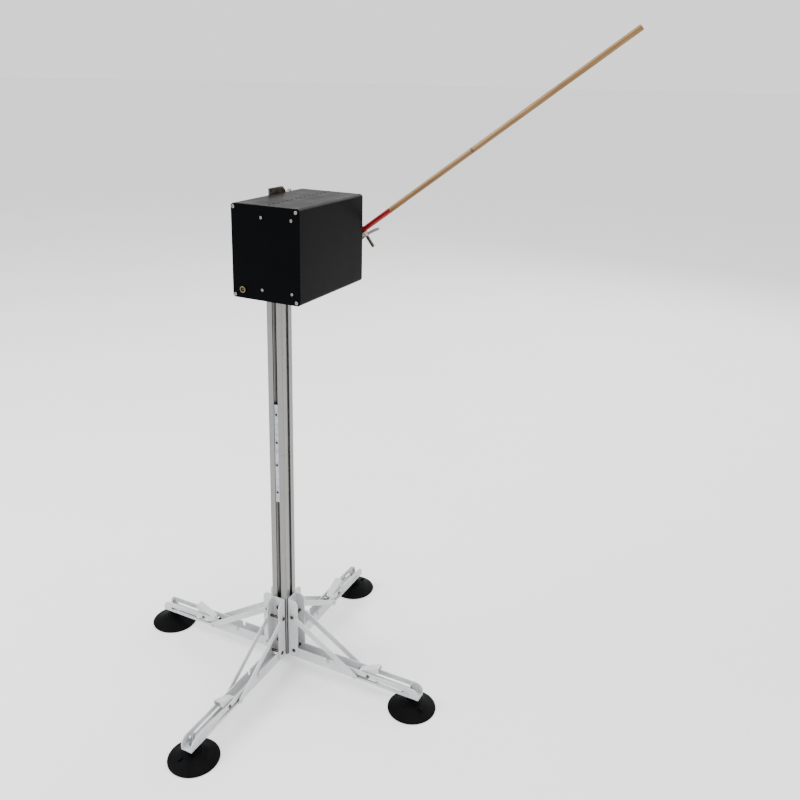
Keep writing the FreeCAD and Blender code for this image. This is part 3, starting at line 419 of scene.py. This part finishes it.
def varnished_wood():
    """The stick: fibres and pores along it, a dark knot, and red gloss paint on the butt.

    The coordinates are turned so that the first one runs along the stick from the shaft's axis.
    """
    material, tree, shader = finish("stick_wood", roughness=0.42, specular=0.3, coat=0.06,
                                    coat_roughness=0.2)
    home = tuple(-SHAFT)
    turn = (0.0, STICK_TILT, 0.0)
    along = node(tree, "SeparateXYZ")
    tree.links.new(place(tree, turn=turn, shift=home), along.inputs["Vector"])
    fibres = noise(tree, place(tree, scale=(0.035, 1, 1), turn=turn, shift=home), 620.0, 6.0, 0.7)
    bands = noise(tree, place(tree, scale=(0.018, 1, 1), turn=turn, shift=home), 210.0, 3.0, 0.5)
    pores = noise(tree, place(tree, scale=(0.07, 1, 1), turn=turn, shift=home), 1900.0, 2.0, 0.5)
    tone = sums(tree, "ADD", sums(tree, "MULTIPLY", fibres, 0.45), sums(tree, "MULTIPLY", bands, 0.55))
    grain = shades(tree, tone, [(0.36, (0.105, 0.050, 0.013)), (0.47, (0.165, 0.086, 0.025)),
                                (0.55, (0.215, 0.120, 0.038)), (0.66, (0.275, 0.164, 0.060))])
    pored = blend_colours(tree, spread(tree, pores, 0.62, 0.72, 0.0, 0.55), grain, (0.13, 0.07, 0.03))
    knot = node(tree, "TexNoise")
    knot.inputs["Scale"].default_value = 330.0
    tree.links.new(place(tree, scale=(0.5, 1, 1), turn=turn, shift=home), knot.inputs["Vector"])
    off = sums(tree, "ABSOLUTE", sums(tree, "SUBTRACT", along.outputs["X"], KNOT_AT), 0.0)
    near = sums(tree, "ADD", off, sums(tree, "MULTIPLY", knot.outputs["Fac"], 0.004))
    knotted = blend_colours(tree, spread(tree, near, 0.0026, 0.0052, 0.92, 0.0), pored,
                            (0.045, 0.022, 0.012))
    edge = sums(tree, "ADD", along.outputs["X"], sums(tree, "MULTIPLY", fibres, 0.0016))
    painted = spread(tree, edge, PAINT_TO + 0.0006, PAINT_TO + 0.0011, 1.0, 0.0)
    chips = noise(tree, place(tree, turn=turn, shift=home), 330.0, 5.0, 0.6)
    red = shades(tree, chips, [(0.35, (0.17, 0.003, 0.005)), (0.6, (0.26, 0.006, 0.009)),
                               (0.8, (0.31, 0.012, 0.014))])
    tree.links.new(blend_colours(tree, painted, knotted, red), shader.inputs["Base Color"])
    dull = spread(tree, fibres, 0.35, 0.65, 0.44, 0.3)
    shine = node(tree, "Mix", data_type="FLOAT")
    tree.links.new(painted, shine.inputs[0])
    tree.links.new(dull, shine.inputs[2])
    shine.inputs[3].default_value = 0.2
    tree.links.new(shine.outputs[0], shader.inputs["Roughness"])
    bare = sums(tree, "SUBTRACT", 1.0, painted)
    relief(tree, shader, sums(tree, "MULTIPLY", fibres, bare), 0.25, 0.00012)
    return material


def circuit_board():
    """Green solder mask with copper tracks showing through as lighter lines."""
    material, tree, shader = finish("circuit_green", roughness=0.32, specular=0.5, coat=0.4)
    tracks = node(tree, "TexBrick")
    tracks.inputs["Scale"].default_value = 160.0
    tracks.inputs["Mortar Size"].default_value = 0.03
    tracks.inputs["Color1"].default_value = (0.012, 0.09, 0.04, 1.0)
    tracks.inputs["Color2"].default_value = (0.016, 0.12, 0.05, 1.0)
    tracks.inputs["Mortar"].default_value = (0.05, 0.24, 0.11, 1.0)
    tree.links.new(place(tree, turn=(math.pi / 2, 0, 0)), tracks.inputs["Vector"])
    tree.links.new(tracks.outputs["Color"], shader.inputs["Base Color"])
    relief(tree, shader, tracks.outputs["Fac"], 0.2, 0.00003)
    return material


def enamelled(name, colour, roughness, coat):
    """Even lacquer or vinyl with a fine ripple and slight changes of tone."""
    material, tree, shader = finish(name, roughness=roughness, coat=coat)
    vector = place(tree)
    clouds = noise(tree, vector, 120.0, detail=4.0, rough=0.6)
    tree.links.new(shades(tree, clouds, [(0.3, tuple(c * 0.75 for c in colour)), (0.7, colour)]),
                   shader.inputs["Base Color"])
    relief(tree, shader, noise(tree, vector, 1200.0, detail=2.0), 0.1, 0.00006)
    return material


def cast_zinc():
    """The wing nut: die-cast zinc alloy, satin, with a fine cast grain and duller hollows."""
    material, tree, shader = finish("cast_zinc", metallic=0.55, roughness=0.5, colour=(0.5, 0.49, 0.47))
    vector = place(tree)
    cast = noise(tree, vector, 700.0, detail=4.0, rough=0.6)
    tree.links.new(shades(tree, cast, [(0.32, (0.30, 0.29, 0.27)), (0.5, (0.50, 0.49, 0.47)),
                                       (0.7, (0.62, 0.61, 0.59))]), shader.inputs["Base Color"])
    tree.links.new(spread(tree, cast, 0.3, 0.7, 0.58, 0.42), shader.inputs["Roughness"])
    relief(tree, shader, cast, 0.2, 0.00008, 0.0004)
    return material


def inlet_rings():
    """The power inlet seen from the front: a gilt rim, a black insulating ring and a gilt contact.

    The rings follow the distance from the inlet's axis, which runs front to back; the black disc at the
    axis is painted shade of the hole in the contact.
    """
    material, tree, shader = finish("inlet_metal", roughness=0.28, colour=(0.40, 0.33, 0.23))
    distance = node(tree, "VectorMath", operation="LENGTH")
    flat = place(tree, scale=(1, 0, 1), shift=(-INLET_X, 0.0, -INLET_Z))
    tree.links.new(flat, distance.inputs[0])
    from_axis = spread(tree, distance.outputs["Value"], 0.0, 0.008, 0.0, 1.0)
    gilt, black_and_hole_shade = (0.24, 0.18, 0.10), (0.004, 0.004, 0.004)
    # the first black stop, at the axis, is painted shade of the contact's hole; the black band further out
    # is the real insulating ring
    rings = shades(tree, from_axis, [(0.0, black_and_hole_shade), (0.10, gilt), (0.27, gilt), (0.30, black_and_hole_shade),
                                     (0.52, black_and_hole_shade), (0.55, gilt)])
    tree.links.new(rings, shader.inputs["Base Color"])
    # the centre stays non-metal so that the painted shade of the hole stays dark
    metal = shades(tree, from_axis, [(0.0, (0, 0, 0)), (0.10, (1, 1, 1)), (0.27, (1, 1, 1)),
                                     (0.30, (0, 0, 0)), (0.52, (0, 0, 0)), (0.55, (1, 1, 1))])
    tree.links.new(metal, shader.inputs["Metallic"])
    relief(tree, shader, noise(tree, place(tree), 900.0), 0.1, 0.00005, 0.0003)
    return material


def polished_bracket():
    """Cold-rolled plate, nearly a mirror, with brown heat tint and fine rolling lines."""
    material, tree, shader = finish("bracket_steel", metallic=1.0, roughness=0.2, colour=(0.4, 0.36, 0.31))
    lines = noise(tree, place(tree, scale=(1, 0.02, 1)), 1500.0, detail=3.0, rough=0.6)
    tint = noise(tree, place(tree), 60.0, detail=4.0, rough=0.6)
    tree.links.new(shades(tree, tint, [(0.35, (0.05, 0.042, 0.033)), (0.52, (0.11, 0.092, 0.073)),
                                       (0.7, (0.24, 0.21, 0.18))]), shader.inputs["Base Color"])
    tree.links.new(spread(tree, lines, 0.3, 0.7, 0.14, 0.3), shader.inputs["Roughness"])
    relief(tree, shader, lines, 0.1, 0.00005, 0.0005)
    return material


FINISHES = {
    "column_aluminium": drawn_metal("column_aluminium", (0.21, 0.208, 0.203), 0.30, (1, 1, 0.012)),
    "zinc_steel": zinc_plate(),
    "dark_steel": bronzed_pins(),
    "white_enamel": white_enamel(),
    "black_coat": black_coat("black_coat", (0.0019, 0.0019, 0.0018), 0.34, 0.035, 1700.0, 0.012),
    "black_panel": black_coat("black_panel", (0.0012, 0.0014, 0.0018), 0.42, 0.02, 1300.0, 0.012),
    "screw_steel": drawn_metal("screw_steel", (0.30, 0.28, 0.25), 0.24, (1, 1, 1), grain=700.0,
                               tint=0.12, rounding=0.0002),
    "rubber_black": moulded_rubber(),
    "stick_wood": varnished_wood(),
    "bracket_steel": polished_bracket(),
    "motor_steel": enamelled("motor_steel", (0.20, 0.21, 0.23), 0.35, 0.2),
    "gear_alloy": drawn_metal("gear_alloy", (0.52, 0.53, 0.54), 0.45, (1, 1, 1), grain=500.0),
    "circuit_green": circuit_board(),
    "bush_brass": drawn_metal("bush_brass", (0.72, 0.53, 0.24), 0.28, (1, 1, 1), grain=800.0),
    "inlet_metal": inlet_rings(),
    "lead_insulation": enamelled("lead_insulation", (0.33, 0.02, 0.02), 0.4, 0.2),
    "hub_alloy": drawn_metal("hub_alloy", (0.42, 0.42, 0.43), 0.35, (1, 0.05, 1), grain=900.0),
}


OWN_FINISHES = {"wing_nut": cast_zinc(), "joint_set_screws": FINISHES["dark_steel"]}


def dress_frame():
    """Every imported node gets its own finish, or else the finish of its material slot."""
    for row in frame["record"]["subparts"]:
        mesh = frame["nodes"][row["node"]].data
        coat = OWN_FINISHES.get(row["node"], FINISHES[row["material_slot"]])
        if len(mesh.materials):
            mesh.materials[0] = coat
        else:
            mesh.materials.append(coat)


# ---------------------------------------------------------------- pieces


def lay_stick():
    points, faces = stick_surface()
    stick = new_piece("varnished_stick", points, faces, "rotor", FINISHES["stick_wood"])
    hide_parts("stick")


def cut_threads():
    """Threads on the shanks that show: the clamp bolt, the bracket bolt and the four cup studs."""
    tail = SHAFT + CLAMP_AT * STICK_AXIS - CLAMP_TAIL * STICK_SIDE
    points, faces = thread(tail, STICK_SIDE, CLAMP_THREAD, THREAD_CORE, THREAD_PITCH, THREAD_RISE)
    new_piece("clamp_bolt_thread", points, faces, "rotor", FINISHES["dark_steel"])
    points, faces = thread(BRACKET_THREAD_AT, (0, 1, 0), BRACKET_THREAD, THREAD_CORE, THREAD_PITCH,
                           THREAD_RISE)
    new_piece("bracket_bolt_thread", points, faces, "stand", FINISHES["screw_steel"])
    for leg in LEGS:
        low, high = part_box(leg + "_leg_cup_stud")
        middle = (low + high) / 2
        start = np.array([middle.x, middle.y, STUD_THREAD_AT])
        points, faces = thread(start, (0, 0, 1), high.z - STUD_CHAMFER - STUD_THREAD_AT, THREAD_CORE,
                               THREAD_PITCH, THREAD_RISE)
        new_piece(leg + "_stud_thread", points, faces, leg + "_arm", FINISHES["zinc_steel"])


def mould_cups():
    """Suction cups: a thin flared bell with a rolled lip, two moulding rings and a waisted neck."""
    outside = smooth_profile([(0.0413, 0.0003), (0.04125, 0.0012), (0.0385, 0.0026), (0.0335, 0.0045),
                              (0.0285, 0.0065), (0.0235, 0.0088), (0.0190, 0.0106), (0.0165, 0.0114)], 7)
    collar = smooth_profile([(0.0152, 0.0116), (0.0146, 0.0132), (0.0132, 0.0139), (0.0118, 0.0137),
                             (0.0108, 0.0146), (0.0100, 0.0175), (0.0099, 0.0215), (0.0100, 0.0246)], 6)
    top = np.array([(0.0096, 0.0249), (0.0032, 0.0249), (0.0031, 0.0245), (0.0031, 0.0112), (0.0, 0.0112)])
    inside = smooth_profile([(0.0, 0.0085), (0.0100, 0.0084), (0.0165, 0.0075), (0.0240, 0.0056),
                             (0.0320, 0.0030), (0.0385, 0.0008), (0.0402, 0.0001)], 6)
    profile = np.vstack([inside, [(0.0410, 0.0)], outside, collar, top])
    for leg, angle in LEGS.items():
        low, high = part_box(leg + "_suction_cup")
        centre = ((low + high) / 2).xy
        points, faces = turned(profile, (centre.x, centre.y, 0.0), (0, 0, 1), 128)
        cup = new_piece(leg + "_cup_bell", points, faces, leg + "_arm", FINISHES["rubber_black"])
        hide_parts(leg + "_suction_cup")
        points, faces = pull_tab((centre.x, centre.y, 0.0), math.radians(angle - 25))
        new_piece(leg + "_cup_tab", points, faces, leg + "_arm", FINISHES["rubber_black"])


# ---------------------------------------------------------------- floor, light and camera


def lay_floor():
    """A wide round floor: rings of radius u, doubling from 1 m to 64 m, round the angle v, all level."""
    profile = np.stack([np.concatenate([[0.0], 2.0 ** np.arange(0, 7)]), np.zeros(8)], axis=1)
    points, faces = turned(profile, (0, 0, FLOOR_LEVEL), (0, 0, 1), 96)
    mesh = bpy.data.meshes.new("studio_floor")
    mesh.from_pydata(points.reshape(-1, 3).tolist(), [], faces[:, ::-1].tolist())
    shape = bmesh.new()
    shape.from_mesh(mesh)
    bmesh.ops.remove_doubles(shape, verts=shape.verts, dist=1e-6)
    shape.to_mesh(mesh)
    shape.free()
    material, tree, shader = finish("pale_floor", roughness=0.75, specular=0.2)
    tone = noise(tree, place(tree), 3.0, detail=2.0)
    tree.links.new(shades(tree, tone, [(0.3, (0.93, 0.93, 0.93)), (0.7, (0.95, 0.95, 0.95))]),
                   shader.inputs["Base Color"])
    mesh.materials.append(material)
    floor = bpy.data.objects.new("studio_floor", mesh)
    bpy.context.scene.collection.objects.link(floor)


def soft_light(name, place_at, look_at, size, power):
    lamp = bpy.data.lights.new(name, "AREA")
    lamp.shape = "SQUARE"
    lamp.size = size
    lamp.energy = power
    light = bpy.data.objects.new(name, lamp)
    light.location = place_at
    light.rotation_mode = "QUATERNION"
    light.rotation_quaternion = (Vector(look_at) - Vector(place_at)).to_track_quat("-Z", "Y")
    bpy.context.scene.collection.objects.link(light)


def light_studio():
    """An even white room, a broad lamp over the left shoulder, one behind and one overhead."""
    world = bpy.data.worlds.new("studio")
    world.use_nodes = True
    background = world.node_tree.nodes["Background"]
    background.inputs["Color"].default_value = (1.0, 1.0, 1.0, 1.0)
    background.inputs["Strength"].default_value = 1.35
    bpy.context.scene.world = world
    soft_light("key", (-2.2, -1.3, 2.6), (0, 0, 0.4), 1.4, 95.0)
    soft_light("back", (0.4, 2.8, 2.2), (0, 0, 0.7), 2.2, 60.0)
    soft_light("overhead", (0.2, 0.1, 3.2), (0, 0, 0.0), 1.2, 50.0)


def set_camera():
    """The camera's place and turn: azimuth, pitch and roll about the view, then lens and shift."""
    azimuth, pitch, roll = math.radians(25.66), math.radians(15.28), math.radians(1.29)
    back = Vector((math.sin(azimuth) * math.cos(pitch), -math.cos(azimuth) * math.cos(pitch),
                   math.sin(pitch)))
    level = Vector((math.cos(azimuth), math.sin(azimuth), 0.0))
    upright = back.cross(level)
    right = level * math.cos(roll) + upright * math.sin(roll)
    up = upright * math.cos(roll) - level * math.sin(roll)
    lens = bpy.data.cameras.new("camera")
    lens.sensor_width = 36.0
    lens.lens = 38.17
    lens.shift_x = -0.00378
    lens.shift_y = -0.12264
    lens.clip_start = 0.05
    camera = bpy.data.objects.new("camera", lens)
    camera.matrix_world = Matrix((right, up, back)).transposed().to_4x4()
    camera.location = (0.7630, -1.1191, 1.0587)
    bpy.context.scene.collection.objects.link(camera)
    bpy.context.scene.camera = camera


set_camera()
light_studio()
lay_floor()
dress_frame()
lay_stick()
cut_threads()
mould_cups()
